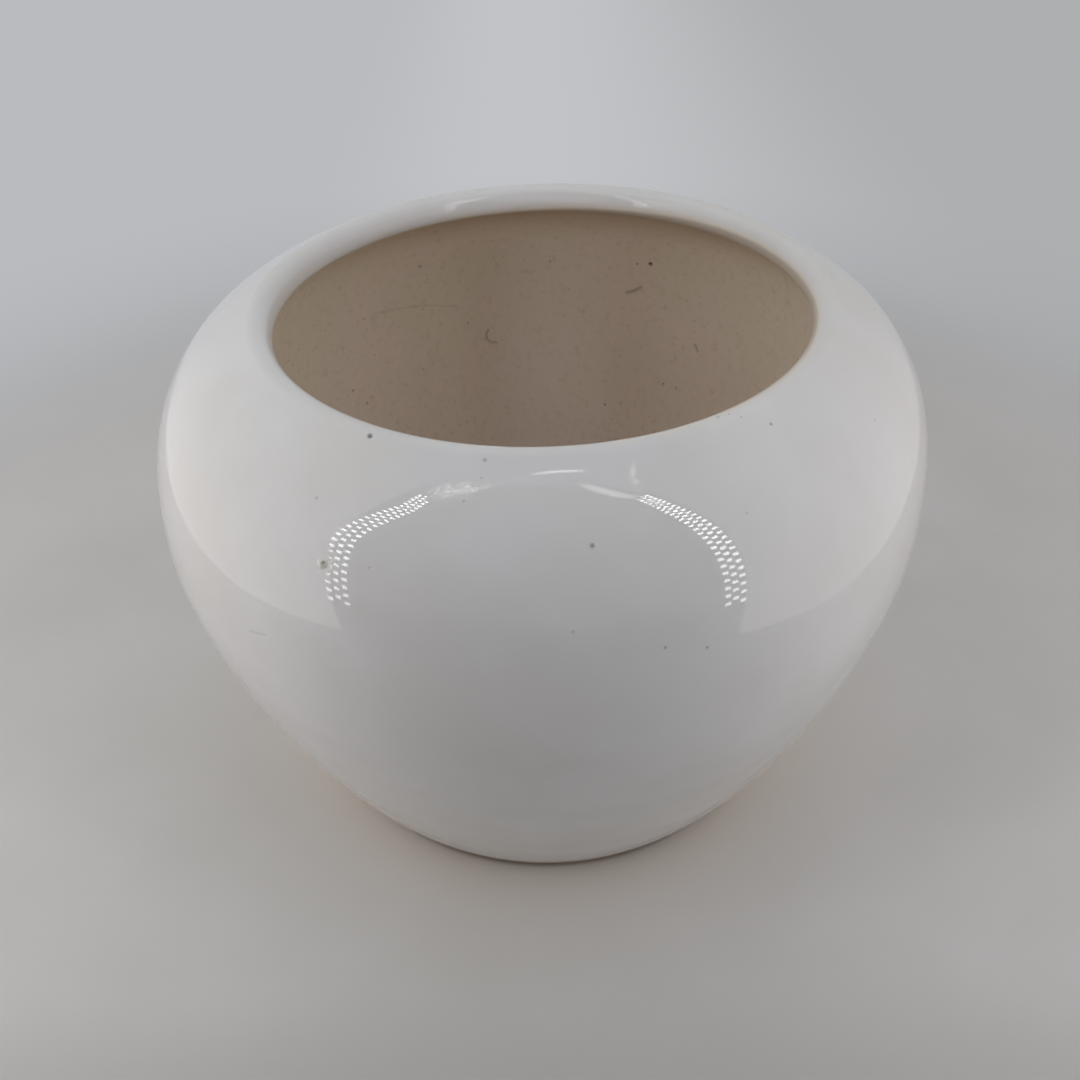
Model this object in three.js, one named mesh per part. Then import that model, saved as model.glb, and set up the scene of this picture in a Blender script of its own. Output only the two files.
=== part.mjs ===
// A round-bellied plant pot: a slip-cast clay body with a wide mouth, a rolled lip and a drain hole, and a
// glossy glaze coat over its outside. Millimetres, +Z up. The origin is at the centre of the foot, on the
// surface that the pot stands on.

import * as THREE from "three";

// Overall sizes, over the glaze.
const BELLY_DIAMETER = 180;
const OVERALL_HEIGHT = 128;
const LIP_DIAMETER = 126.5; // across the crest of the lip
const BELLY_HEIGHT = 84; // height of the widest line

// The outline of the clay's outside, from the foot to the lip.
const FOOT_DIAMETER = 118;
const HEEL_RISE = 38; // degrees above level at which the flank leaves the foot
const HEEL_REACH = 8.5; // how far the flank keeps to that rise
const FLANK_REACH = 29; // how far below the belly the flank is drawn upright
const SHOULDER_REACH = 32.5; // how far above the belly the shoulder is drawn upright
const NECK_SLOPE = 28; // degrees below level at which the shoulder leaves the lip
const NECK_REACH = 11; // how far the shoulder keeps to that slope

// The clay's wall and floor.
const WALL_THICKNESS = 6;
const FLOOR_THICKNESS = 6;
const FLOOR_CORNER = 12; // height of the curved corner between the floor and the wall
const DRAIN_DIAMETER = 14;
const DRAIN_EDGE = 1.2; // radius of the drain hole's edges

// The underside.
const FOOT_RING_WIDTH = 8;
const FOOT_RING_RISE = 2.5; // height of the base above the foot ring
const FOOT_EDGE = 1; // radius of the foot ring's inner edge

// The glaze.
const GLAZE_THICKNESS = 0.5;
const BOND_GAP = 0.02; // keeps the coat's solid clear of the clay that it is fired onto
const GLAZE_FOOT_LINE = 3; // height above the foot at which the glaze starts
const GLAZE_LIP_END = 50; // degrees below the mouth's narrowest line at which the glaze stops
const FEATHER_ANGLE = 45; // degrees of the lip's round over which the glaze thins to its edge
const FEATHER_EDGE = 0.12; // thickness of the glaze at that edge

// Steps of the mesh.
const TURN_STEPS = 56;
const HEEL_STEPS = 2;
const FLANK_STEPS = 10;
const SHOULDER_STEPS = 7;
const LIP_STEPS = 8;
const LIP_BARE_STEPS = 1;
const CORNER_STEPS = 4;
const EDGE_STEPS = 2;

const clayMaterial = new THREE.MeshStandardMaterial({ color: 0x95836f, roughness: 0.95, metalness: 0 });
const glazeMaterial = new THREE.MeshStandardMaterial({ color: 0xdcdad6, roughness: 0.12, metalness: 0 });

const radians = THREE.MathUtils.degToRad;
const point = (radius, height) => new THREE.Vector2(radius, height);

// A point at an angle on a circle, counted from the outward level towards the top.
function onCircle(centre, radius, angle) {
  return point(centre.x + radius * Math.cos(angle), centre.y + radius * Math.sin(angle));
}

// Values spread evenly from one end to the other, both ends included.
function spread(from, to, steps) {
  return Array.from({ length: steps + 1 }, (_, i) => from + ((to - from) * i) / steps);
}

function arc(centre, radius, from, to, steps) {
  return spread(from, to, steps).map((angle) => onCircle(centre, radius, angle));
}

// The point at a share of a rising curve, moved square to it. A positive offset is outwards.
function beside(curve, share, offset) {
  const at = curve.getPoint(share);
  const along = curve.getTangent(share);
  return point(at.x + along.y * offset, at.y - along.x * offset);
}

function besideRun(curve, from, to, steps, offset) {
  return spread(from, to, steps).map((share) => beside(curve, share, offset));
}

// The share of a rising curve at which the line beside it reaches a height, found by halving.
function shareAtHeight(curve, height, offset) {
  const halvings = 40;
  let low = 0;
  let high = 1;
  for (let i = 0; i < halvings; i++) {
    const middle = (low + high) / 2;
    if (beside(curve, middle, offset).y < height) low = middle;
    else high = middle;
  }
  return low;
}

// A solid turned about the pot's axis from a closed profile. Points that repeat the last one are left out.
function turned(profile) {
  const leastStep = 0.001;
  const distinct = profile.filter((p, i) => i === 0 || p.distanceTo(profile[i - 1]) > leastStep);
  distinct.push(distinct[0].clone());
  return new THREE.LatheGeometry(distinct, TURN_STEPS).rotateX(Math.PI / 2);
}

// The clay's outside lies one coat of glaze inside the overall sizes.
const coat = BOND_GAP + GLAZE_THICKNESS;
const footRadius = FOOT_DIAMETER / 2;
const bellyRadius = BELLY_DIAMETER / 2 - coat;
const heelRise = radians(HEEL_RISE);
const neckSlope = radians(NECK_SLOPE);

// The lip is a half round as thick as the wall, from the end of the shoulder to the wall's inner side.
const lipRound = WALL_THICKNESS / 2;
const lipCentre = point(LIP_DIAMETER / 2, OVERALL_HEIGHT - coat - lipRound);
const lipStart = Math.PI / 2 - neckSlope;
const lipEnd = lipStart + Math.PI;
const shoulderEnd = onCircle(lipCentre, lipRound, lipStart);

// The flank rises from the foot's edge to the belly, and the shoulder from the belly to the lip.
const flank = new THREE.CubicBezierCurve(
  point(footRadius, 0),
  onCircle(point(footRadius, 0), HEEL_REACH, heelRise),
  point(bellyRadius, BELLY_HEIGHT - FLANK_REACH),
  point(bellyRadius, BELLY_HEIGHT),
);
const shoulder = new THREE.CubicBezierCurve(
  point(bellyRadius, BELLY_HEIGHT),
  point(bellyRadius, BELLY_HEIGHT + SHOULDER_REACH),
  onCircle(shoulderEnd, NECK_REACH, -neckSlope),
  shoulderEnd,
);

// Where the glaze starts on the flank and stops on the lip.
const glazeStart = shareAtHeight(flank, GLAZE_FOOT_LINE, 0);
const glazeEnd = Math.PI + radians(GLAZE_LIP_END);

// The glazed stretch of the outside, at an offset from the clay. The clay and both faces of the glaze take
// the same steps along it, so that they stay parallel.
function glazedProfile(offset) {
  return [
    ...besideRun(flank, glazeStart, 1, FLANK_STEPS, offset),
    ...besideRun(shoulder, 0, 1, SHOULDER_STEPS, offset),
  ];
}

// The underside, from the drain hole out across the base and down to the foot ring.
function undersideProfile() {
  const ringInner = footRadius - FOOT_RING_WIDTH;
  const drainEdge = point(DRAIN_DIAMETER / 2 + DRAIN_EDGE, FOOT_RING_RISE + DRAIN_EDGE);
  const ringEdge = point(ringInner + FOOT_EDGE, FOOT_EDGE);
  return [
    ...arc(drainEdge, DRAIN_EDGE, -Math.PI, -Math.PI / 2, EDGE_STEPS),
    point(ringInner - FOOT_EDGE, FOOT_RING_RISE),
    ...arc(ringEdge, FOOT_EDGE, -Math.PI, -Math.PI / 2, EDGE_STEPS),
  ];
}

// The inside, from the lip down the wall, round the corner and across the floor to the drain hole.
function insideProfile() {
  const floorHeight = FOOT_RING_RISE + FLOOR_THICKNESS;
  const wallEnd = shareAtHeight(flank, floorHeight + FLOOR_CORNER, -WALL_THICKNESS);
  const wallFoot = beside(flank, wallEnd, -WALL_THICKNESS);
  const slope = flank.getTangent(wallEnd);
  const cornerTip = point(wallFoot.x - (FLOOR_CORNER * slope.x) / slope.y, floorHeight);
  const cornerEnd = point(cornerTip.x - wallFoot.distanceTo(cornerTip), floorHeight);
  const corner = new THREE.QuadraticBezierCurve(wallFoot, cornerTip, cornerEnd);
  const drainEdge = point(DRAIN_DIAMETER / 2 + DRAIN_EDGE, floorHeight - DRAIN_EDGE);
  return [
    ...besideRun(shoulder, 1, 0, SHOULDER_STEPS, -WALL_THICKNESS),
    ...besideRun(flank, 1, wallEnd, FLANK_STEPS, -WALL_THICKNESS),
    ...corner.getPoints(CORNER_STEPS),
    ...arc(drainEdge, DRAIN_EDGE, Math.PI / 2, Math.PI, EDGE_STEPS),
  ];
}

function clayBody() {
  return turned([
    ...undersideProfile(),
    ...besideRun(flank, 0, glazeStart, HEEL_STEPS, 0),
    ...glazedProfile(0),
    ...arc(lipCentre, lipRound, lipStart, glazeEnd, LIP_STEPS),
    ...arc(lipCentre, lipRound, glazeEnd, lipEnd, LIP_BARE_STEPS),
    ...insideProfile(),
  ]);
}

// The coat's face over the lip, where the glaze thins towards its edge inside the mouth.
function featheredLip() {
  return spread(lipStart, glazeEnd, LIP_STEPS).map((angle) => {
    const share = Math.min(1, (glazeEnd - angle) / radians(FEATHER_ANGLE));
    const thickness = FEATHER_EDGE + (GLAZE_THICKNESS - FEATHER_EDGE) * share;
    return onCircle(lipCentre, lipRound + BOND_GAP + thickness, angle);
  });
}

// The coat, from its rounded edge above the foot up the outside, over the lip and back along the clay.
function glazeCoat() {
  const halfThickness = GLAZE_THICKNESS / 2;
  const startEdge = beside(flank, glazeStart, BOND_GAP + halfThickness);
  startEdge.addScaledVector(flank.getTangent(glazeStart), -halfThickness);
  return turned([
    startEdge,
    ...glazedProfile(coat),
    ...featheredLip(),
    ...arc(lipCentre, lipRound + BOND_GAP, glazeEnd, lipStart, LIP_STEPS),
    ...glazedProfile(BOND_GAP).reverse(),
  ]);
}

function namedMesh(name, geometry, material) {
  const mesh = new THREE.Mesh(geometry, material);
  mesh.name = name;
  return mesh;
}

const planter = new THREE.Group();
planter.add(namedMesh("clay_body", clayBody(), clayMaterial));
planter.add(namedMesh("glaze_coat", glazeCoat(), glazeMaterial));

export default planter;
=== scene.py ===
import math

import bmesh
import bpy
import numpy as np
from mathutils import Matrix, Quaternion, Vector
from mathutils.bvhtree import BVHTree
from mathutils.interpolate import poly_3d_calc


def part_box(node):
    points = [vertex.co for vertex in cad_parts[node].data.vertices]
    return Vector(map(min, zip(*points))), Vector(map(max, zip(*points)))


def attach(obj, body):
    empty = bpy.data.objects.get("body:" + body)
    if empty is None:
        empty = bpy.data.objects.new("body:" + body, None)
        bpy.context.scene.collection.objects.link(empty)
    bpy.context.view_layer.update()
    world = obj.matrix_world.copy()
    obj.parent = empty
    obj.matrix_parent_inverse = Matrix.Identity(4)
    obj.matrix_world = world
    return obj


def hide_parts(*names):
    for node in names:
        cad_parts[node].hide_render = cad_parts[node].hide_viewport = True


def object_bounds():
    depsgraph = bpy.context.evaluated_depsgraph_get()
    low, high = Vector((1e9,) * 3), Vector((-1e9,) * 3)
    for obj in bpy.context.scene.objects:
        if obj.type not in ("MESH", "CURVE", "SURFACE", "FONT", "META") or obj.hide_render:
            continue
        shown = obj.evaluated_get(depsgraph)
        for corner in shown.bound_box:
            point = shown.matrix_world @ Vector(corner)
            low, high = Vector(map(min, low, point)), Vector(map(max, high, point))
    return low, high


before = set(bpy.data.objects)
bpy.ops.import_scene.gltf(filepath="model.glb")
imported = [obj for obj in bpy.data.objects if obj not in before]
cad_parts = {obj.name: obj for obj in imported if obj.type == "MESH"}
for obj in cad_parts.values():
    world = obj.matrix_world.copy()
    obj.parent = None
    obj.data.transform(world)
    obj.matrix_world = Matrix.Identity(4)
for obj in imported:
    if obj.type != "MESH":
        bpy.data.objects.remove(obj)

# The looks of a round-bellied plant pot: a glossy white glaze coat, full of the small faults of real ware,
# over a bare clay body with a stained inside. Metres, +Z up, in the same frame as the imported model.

cad_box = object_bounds()
MM = 0.001

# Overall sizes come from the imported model, over the glaze.
_, glaze_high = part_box("glaze_coat")
BELLY_RADIUS = glaze_high.x
OVERALL_HEIGHT = cad_box[1][2]

# The rest of the outline, as the model has it.
COAT = 0.52 * MM
BELLY_HEIGHT = 84 * MM
FOOT_RADIUS = 59 * MM
HEEL_RISE = math.radians(38)
HEEL_REACH = 8.5 * MM
FLANK_REACH = 29 * MM
SHOULDER_REACH = 32.5 * MM
NECK_SLOPE = math.radians(28)
NECK_REACH = 11 * MM
LIP_CENTRE_RADIUS = 63.25 * MM
WALL = 6 * MM
FLOOR_HEIGHT = 8.5 * MM
FLOOR_CORNER = 12 * MM
BASE_RISE = 2.5 * MM
FOOT_RING_WIDTH = 8 * MM
DRAIN_RADIUS = 7 * MM
DRAIN_EDGE = 1.2 * MM
FOOT_RING_EDGE = 1 * MM
GLAZE_FOOT_LINE = 3 * MM
GLAZE_LIP_END = math.pi + math.radians(50)

# The glaze's rolled lower edge, as shares of its thickness and of the flank, and the foot's worn edge.
GLAZE_ROLL = 0.55
GLAZE_ROLL_REACH = 0.012
HEEL_START = 0.004
FOOT_FLAT_INSET = 0.6 * MM
# Over this turn of the lip the glaze thins down to this.
FEATHER = math.radians(60)
FEATHER_EDGE = 0.06 * MM

# Fineness of the turned meshes.
TURN_STEPS = 512
FINE_STEP = 1.1 * MM
EDGE_STEP = 0.35 * MM
BASE_STEP = 1.5 * MM
LIP_UNDER_STEP = 1 * MM
HIDDEN_STEP = 8 * MM
# How many points a curve has before it is divided evenly.
CURVE_POINTS = 200
LIP_POINTS = 160
ARC_POINTS = 64
SHORT_POINTS = 60
ROLL_POINTS = 7
SEARCH_POINTS = 4001
# The clay's lip is finer from this turn before the glaze's end.
CLAY_LIP_FINE = 0.5

# The camera, as the pot's outline in the photograph places it. The sensor's width is in millimetres.
PHOTO_PIXELS = 1080
FOCAL_PIXELS = 1082
SENSOR = 36
CAMERA_PLACE = Vector((0, -220.8, 236.9)) * MM
CAMERA_AIM = Vector((-1.1, 0, 56.56)) * MM
CAMERA_ROLL = math.radians(-1.51)


def add_object(name, data):
    """A new object in the scene."""
    made = bpy.data.objects.new(name, data)
    bpy.context.scene.collection.objects.link(made)
    return made


def camera_turn():
    """The turn that points the camera from its place at its aim, with its roll."""
    aim = (CAMERA_AIM - CAMERA_PLACE).to_track_quat("-Z", "Y")
    return aim @ Quaternion((0, 0, 1), CAMERA_ROLL)


def add_camera():
    """The camera that sees what the photograph shows."""
    data = bpy.data.cameras.new("photo_camera")
    data.sensor_width = SENSOR
    data.lens = FOCAL_PIXELS / PHOTO_PIXELS * SENSOR
    camera = add_object("photo_camera", data)
    camera.rotation_mode = "QUATERNION"
    camera.rotation_quaternion = camera_turn()
    camera.location = CAMERA_PLACE
    bpy.context.scene.camera = camera


def pixel_ray(pixel):
    """The direction from the camera through a pixel of the photograph."""
    x, y = pixel
    middle = PHOTO_PIXELS / 2
    return (camera_turn() @ Vector((x - middle, middle - y, -FOCAL_PIXELS))).normalized()


def smooth(low, high, values):
    """0 at low, 1 at high, smooth between and level beyond. The low end may be the larger number."""
    t = np.clip((np.asarray(values, float) - low) / (high - low), 0, 1)
    return t * t * (3 - 2 * t)


# The profile, as lines of (radius, height) points.


def bezier(a, b, c, d):
    """A cubic curve as functions of a share from 0 to 1: its point and its direction."""
    a, b, c, d = (np.array(p, float) for p in (a, b, c, d))

    def point(t):
        t = np.asarray(t, float)[..., None]
        return (1 - t) ** 3 * a + 3 * (1 - t) ** 2 * t * b + 3 * (1 - t) * t**2 * c + t**3 * d

    def direction(t):
        t = np.asarray(t, float)[..., None]
        along = (1 - t) ** 2 * (b - a) + 2 * (1 - t) * t * (c - b) + t**2 * (d - c)
        return along / np.linalg.norm(along, axis=-1, keepdims=True)

    return point, direction


def on_circle(centre, radius, angle):
    """The point of a circle at an angle."""
    return np.array([centre[0] + radius * math.cos(angle), centre[1] + radius * math.sin(angle)])


LIP_ROUND = WALL / 2
LIP_CENTRE = (LIP_CENTRE_RADIUS, OVERALL_HEIGHT - COAT - LIP_ROUND)
LIP_START = math.pi / 2 - NECK_SLOPE
SHOULDER_END = on_circle(LIP_CENTRE, LIP_ROUND, LIP_START)
CLAY_BELLY = BELLY_RADIUS - COAT
FOOT_EDGE = (FOOT_RADIUS, 0)
FLANK = bezier(
    FOOT_EDGE,
    on_circle(FOOT_EDGE, HEEL_REACH, HEEL_RISE),
    (CLAY_BELLY, BELLY_HEIGHT - FLANK_REACH),
    (CLAY_BELLY, BELLY_HEIGHT),
)
SHOULDER = bezier(
    (CLAY_BELLY, BELLY_HEIGHT),
    (CLAY_BELLY, BELLY_HEIGHT + SHOULDER_REACH),
    on_circle(SHOULDER_END, NECK_REACH, -NECK_SLOPE),
    SHOULDER_END,
)


def beside(curve, shares, offset):
    """Points of a rising curve moved square to it. A positive offset is outwards."""
    point, direction = curve
    along = direction(shares)
    return point(shares) + offset * np.stack([along[..., 1], -along[..., 0]], axis=-1)


def share_at_height(curve, height, offset):
    """The share of a rising curve, moved out by the offset, that lies at a height."""
    shares = np.linspace(0, 1, SEARCH_POINTS)
    return float(np.interp(height, beside(curve, shares, offset)[:, 1], shares))


def even(points, step):
    """The same line with its points spread evenly, about one step apart."""
    lengths = np.concatenate([[0], np.cumsum(np.linalg.norm(np.diff(points, axis=0), axis=1))])
    at = np.linspace(0, lengths[-1], max(2, round(lengths[-1] / step) + 1))
    return np.stack([np.interp(at, lengths, points[:, 0]), np.interp(at, lengths, points[:, 1])], axis=1)


def arc(centre, radius, start, end, count=ARC_POINTS):
    """Points on part of a circle, or of a spiral when there is a radius for each."""
    angles = np.linspace(start, end, count)
    return np.stack([centre[0] + radius * np.cos(angles), centre[1] + radius * np.sin(angles)], axis=1)


def outside(offset, first_share):
    """The outside from a share of the flank up to the start of the lip."""
    flank = beside(FLANK, np.linspace(first_share, 1, CURVE_POINTS), offset)
    shoulder = beside(SHOULDER, np.linspace(0, 1, CURVE_POINTS), offset)
    return np.concatenate([flank, shoulder[1:]])


# Points closer together than this are one.
SAME_PLACE = 0.001 * MM


def joined(*lines):
    """Lines run together, without points that repeat the one before them."""
    points = np.concatenate(lines)
    steps = np.linalg.norm(np.diff(points, axis=0), axis=1)
    return points[np.concatenate([[True], steps > SAME_PLACE])]


GLAZE_START = share_at_height(FLANK, GLAZE_FOOT_LINE, 0)
BOND = 0.02 * MM
GLAZE = COAT - BOND


def feathered_lip():
    """The glaze's face over the lip, which thins to its edge inside the mouth."""
    angles = np.linspace(LIP_START, GLAZE_LIP_END, LIP_POINTS)
    share = np.clip((GLAZE_LIP_END - angles) / FEATHER, 0, 1)
    share = share * (2 - share)
    radius = LIP_ROUND + BOND + FEATHER_EDGE + (GLAZE - FEATHER_EDGE) * share
    return arc(LIP_CENTRE, radius, LIP_START, GLAZE_LIP_END, LIP_POINTS)


def glaze_profile():
    """The coat: its rolled lower edge, its face, its feathered end and back down along the clay."""
    roll = GLAZE * GLAZE_ROLL
    low = beside(FLANK, np.array([GLAZE_START]), BOND + roll)[0]
    along = FLANK[1](np.array([GLAZE_START]))[0]
    heading = math.atan2(along[1], along[0])
    edge = arc(low, roll, heading + math.pi, heading + 1.5 * math.pi, ROLL_POINTS)
    return joined(
        edge,
        even(outside(COAT, GLAZE_START + GLAZE_ROLL_REACH), FINE_STEP),
        even(feathered_lip(), EDGE_STEP),
        even(arc(LIP_CENTRE, LIP_ROUND + BOND, GLAZE_LIP_END, LIP_START), LIP_UNDER_STEP),
        even(outside(BOND, GLAZE_START)[::-1], HIDDEN_STEP),
    )


def clay_inside():
    """The inside, from the lip down the wall, round the corner and across the floor to the drain hole."""
    wall_end = share_at_height(FLANK, FLOOR_HEIGHT + FLOOR_CORNER, -WALL)
    shoulder = beside(SHOULDER, np.linspace(1, 0, CURVE_POINTS), -WALL)
    flank = beside(FLANK, np.linspace(1, wall_end, CURVE_POINTS), -WALL)
    foot = flank[-1]
    slope = FLANK[1](np.array([wall_end]))[0]
    tip = np.array([foot[0] - FLOOR_CORNER * slope[0] / slope[1], FLOOR_HEIGHT])
    end = np.array([tip[0] - np.linalg.norm(foot - tip), FLOOR_HEIGHT])
    t = np.linspace(0, 1, SHORT_POINTS)[:, None]
    corner = (1 - t) ** 2 * foot + 2 * (1 - t) * t * tip + t**2 * end
    middle = (DRAIN_RADIUS + DRAIN_EDGE, FLOOR_HEIGHT - DRAIN_EDGE)
    drain = arc(middle, DRAIN_EDGE, math.pi / 2, math.pi)
    return joined(even(joined(shoulder, flank, corner, drain[:1]), FINE_STEP), even(drain, EDGE_STEP))


def clay_underside():
    """The underside, from the drain hole across the base and down to the foot ring's outer edge."""
    edge = FOOT_RING_EDGE
    inner = FOOT_RADIUS - FOOT_RING_WIDTH
    base_start = DRAIN_RADIUS + DRAIN_EDGE
    drain = arc((base_start, BASE_RISE + DRAIN_EDGE), DRAIN_EDGE, -math.pi, -math.pi / 2)
    base = np.array([[base_start, BASE_RISE], [inner - edge, BASE_RISE]])
    step = arc((inner - edge, BASE_RISE - edge), edge, math.pi / 2, 0)
    foot = arc((inner + edge, edge), edge, math.pi, 1.5 * math.pi)
    land = np.array([[inner + edge, 0], [FOOT_RADIUS - FOOT_FLAT_INSET, 0]])
    return joined(
        even(drain, EDGE_STEP),
        even(base, BASE_STEP),
        even(joined(step, foot), EDGE_STEP),
        even(land, FINE_STEP),
    )


def clay_profile():
    """The body as a closed line: underside, outside under the glaze, lip and inside."""
    heel = beside(FLANK, np.linspace(HEEL_START, GLAZE_START, SHORT_POINTS), 0)
    lip_shown = GLAZE_LIP_END - CLAY_LIP_FINE
    return joined(
        clay_underside(),
        even(heel, EDGE_STEP),
        even(outside(0, GLAZE_START), HIDDEN_STEP),
        even(arc(LIP_CENTRE, LIP_ROUND, LIP_START, lip_shown), LIP_UNDER_STEP),
        even(arc(LIP_CENTRE, LIP_ROUND, lip_shown, LIP_START + math.pi), EDGE_STEP),
        clay_inside(),
    )


# The turned meshes.


# How far the kiln drew the pot out of true, as waves round it.
# Each has how many there are to a turn, their size and where they peak.
BELLY_WAVES = ((1, 1.1 * MM, math.radians(180)), (2, 0.9 * MM, math.radians(-74)))
RIM_WAVES = (
    (1, 0.7 * MM, math.radians(31)),
    (2, 0.65 * MM, math.radians(97)),
    (3, 0.38 * MM, math.radians(17)),
)
RIM_LEVEL_WAVES = ((1, 0.7 * MM, math.radians(-124)), (2, 0.37 * MM, math.radians(85)))
RIM_WAVES_START = 70 * MM
# The wall's ripple: the product of two waves, and that of a quicker pair at a share of the size. Each wave
# has how many there are to a turn and how many radians it winds over a height of one belly radius.
WALL_RIPPLE = 0.03 * MM
SLOW_RIPPLE = ((5, 40), (3, -9))
QUICK_RIPPLE = ((13, 7), (2, 16))
QUICK_SHARE = 0.5
RIPPLE_START = 20 * MM
# The lip's underside hangs lower on the far left. The wall under it takes this up over a short reach.
LIP_HANG = 0.75 * MM
LIP_HANG_PEAK = math.radians(130)
LIP_HANG_REACH = 15 * MM


def waves(angle, kinds):
    """The sum of some kinds of waves at angles round the pot."""
    return sum(size * np.cos(count * angle - peak) for count, size, peak in kinds)


def ripple(angle, height):
    """The faint unevenness of a cast wall, which shows in what the glaze mirrors."""

    def phases(pair):
        return [turns * angle + winding * height / BELLY_RADIUS for turns, winding in pair]

    first, second = phases(SLOW_RIPPLE)
    third, fourth = phases(QUICK_RIPPLE)
    slow = np.sin(first) * np.cos(second)
    quick = np.sin(third) * np.sin(fourth)
    return WALL_RIPPLE * (slow + QUICK_SHARE * quick)


def lip_hang(radius, angle, height):
    """How far the inner face at and under the lip hangs away from the lip's centre."""
    across = radius - LIP_CENTRE[0]
    below = -(height - LIP_CENTRE[1]) - math.tan(NECK_SLOPE) * across
    near = smooth(LIP_HANG_REACH, LIP_ROUND + COAT, np.hypot(across, height - LIP_CENTRE[1]))
    share_round = 0.5 + 0.5 * np.cos(angle - LIP_HANG_PEAK)
    return LIP_HANG * share_round * smooth(0, LIP_ROUND, below) * near


def out_of_round(radius, angle, height):
    """Where a point of the true profile ends up on the fired pot."""
    hang = lip_hang(radius, angle, height)
    radius = radius - hang * math.sin(NECK_SLOPE)
    height = height - hang * math.cos(NECK_SLOPE)
    rim = smooth(RIM_WAVES_START, OVERALL_HEIGHT, height)
    belly = (1 - rim) * np.clip(height / BELLY_HEIGHT, 0, 1)
    radius = radius + rim * waves(angle, RIM_WAVES) + belly * waves(angle, BELLY_WAVES)
    radius = radius + (1 - rim) * smooth(0, RIPPLE_START, height) * ripple(angle, height)
    return radius, height + rim * waves(angle, RIM_LEVEL_WAVES)


def turned(name, profile):
    """A closed mesh turned from a closed profile."""
    angles = np.arange(TURN_STEPS) * 2 * math.pi / TURN_STEPS
    angle, radius = np.meshgrid(angles, profile[:, 0], indexing="ij")
    _, height = np.meshgrid(angles, profile[:, 1], indexing="ij")
    radius, height = out_of_round(radius, angle, height)
    points = np.stack([radius * np.cos(angle), radius * np.sin(angle), height], axis=-1).reshape(-1, 3)
    count = len(profile)
    turn, place = np.meshgrid(np.arange(TURN_STEPS), np.arange(count), indexing="ij")
    next_turn = (turn + 1) % TURN_STEPS
    next_place = (place + 1) % count
    corners = [turn * count + place, next_turn * count + place]
    corners += [next_turn * count + next_place, turn * count + next_place]
    faces = np.stack(corners, axis=-1).reshape(-1, 4)
    mesh = bpy.data.meshes.new(name)
    mesh.from_pydata(points.tolist(), [], faces.tolist())
    mesh.shade_smooth()
    mesh.update()
    return add_object(name, mesh)


def point_values(piece, name, values):
    """Stores one number for each point of a piece's mesh, for its material to read."""
    layer = piece.data.attributes.new(name, "FLOAT", "POINT")
    layer.data.foreach_set("value", np.asarray(values, np.float32))


def points_of(piece):
    """The points of a piece's mesh, one to a row."""
    flat = np.empty(len(piece.data.vertices) * 3)
    piece.data.vertices.foreach_get("co", flat)
    return flat.reshape(-1, 3)


def lip_angle(points):
    """Where points lie on the round of the lip, turned from the outward level."""
    radius = np.hypot(points[:, 0], points[:, 1])
    return np.arctan2(points[:, 2] - LIP_CENTRE[1], radius - LIP_CENTRE[0]) % (2 * math.pi)


# Marks in the glaze and on the clay: the pixels of the photograph that each runs through, its width and its
# depth in millimetres (below zero for one that stands proud), and how dark it is, from 0 to 1.
GLAZE_MARKS = {
    "pit_below_lip": (((370, 436),), 1.2, 0.3, 0.8),
    "pit_on_front": (((592, 546),), 1.1, 0.25, 0.55),
    "pit_by_patch": (((485, 460),), 0.9, 0.2, 0.4),
    "pit_low_left": (((665, 648),), 0.8, 0.2, 0.4),
    "pit_low_right": (((707, 648),), 0.8, 0.2, 0.4),
    "pit_low_middle": (((573, 632),), 0.7, 0.15, 0.3),
    "pit_on_shoulder": (((771, 424),), 0.8, 0.2, 0.5),
    "pit_on_left_flank": (((316.6, 498),), 0.8, 0.1, 0.25),
    "pit_inside_arc": (((369.6, 568),), 0.7, 0.1, 0.2),
    "pit_below_patch": (((464, 501.5),), 0.7, 0.1, 0.3),
    "pit_right_of_patch": (((481.6, 478),), 0.6, 0.1, 0.25),
    "pit_outside_arc": (((746.7, 513),), 0.6, 0.1, 0.3),
    "pit_by_lip_a": (((718, 417),), 0.7, 0.15, 0.35),
    "pit_by_lip_b": (((729, 414),), 0.6, 0.1, 0.25),
    "pit_by_lip_c": (((741, 417),), 0.5, 0.1, 0.25),
    "scratch_low_left": (((250, 631), (265, 635)), 0.7, 0.04, 0.16),
    "scratch_lower_left": (((262, 687), (268, 690)), 0.6, 0.03, 0.12),
    "blister": (((322, 563.5),), 2.3, -0.4, 0.0),
    "blister_crater": (((324, 563),), 0.8, 0.3, 0.5),
}
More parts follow.
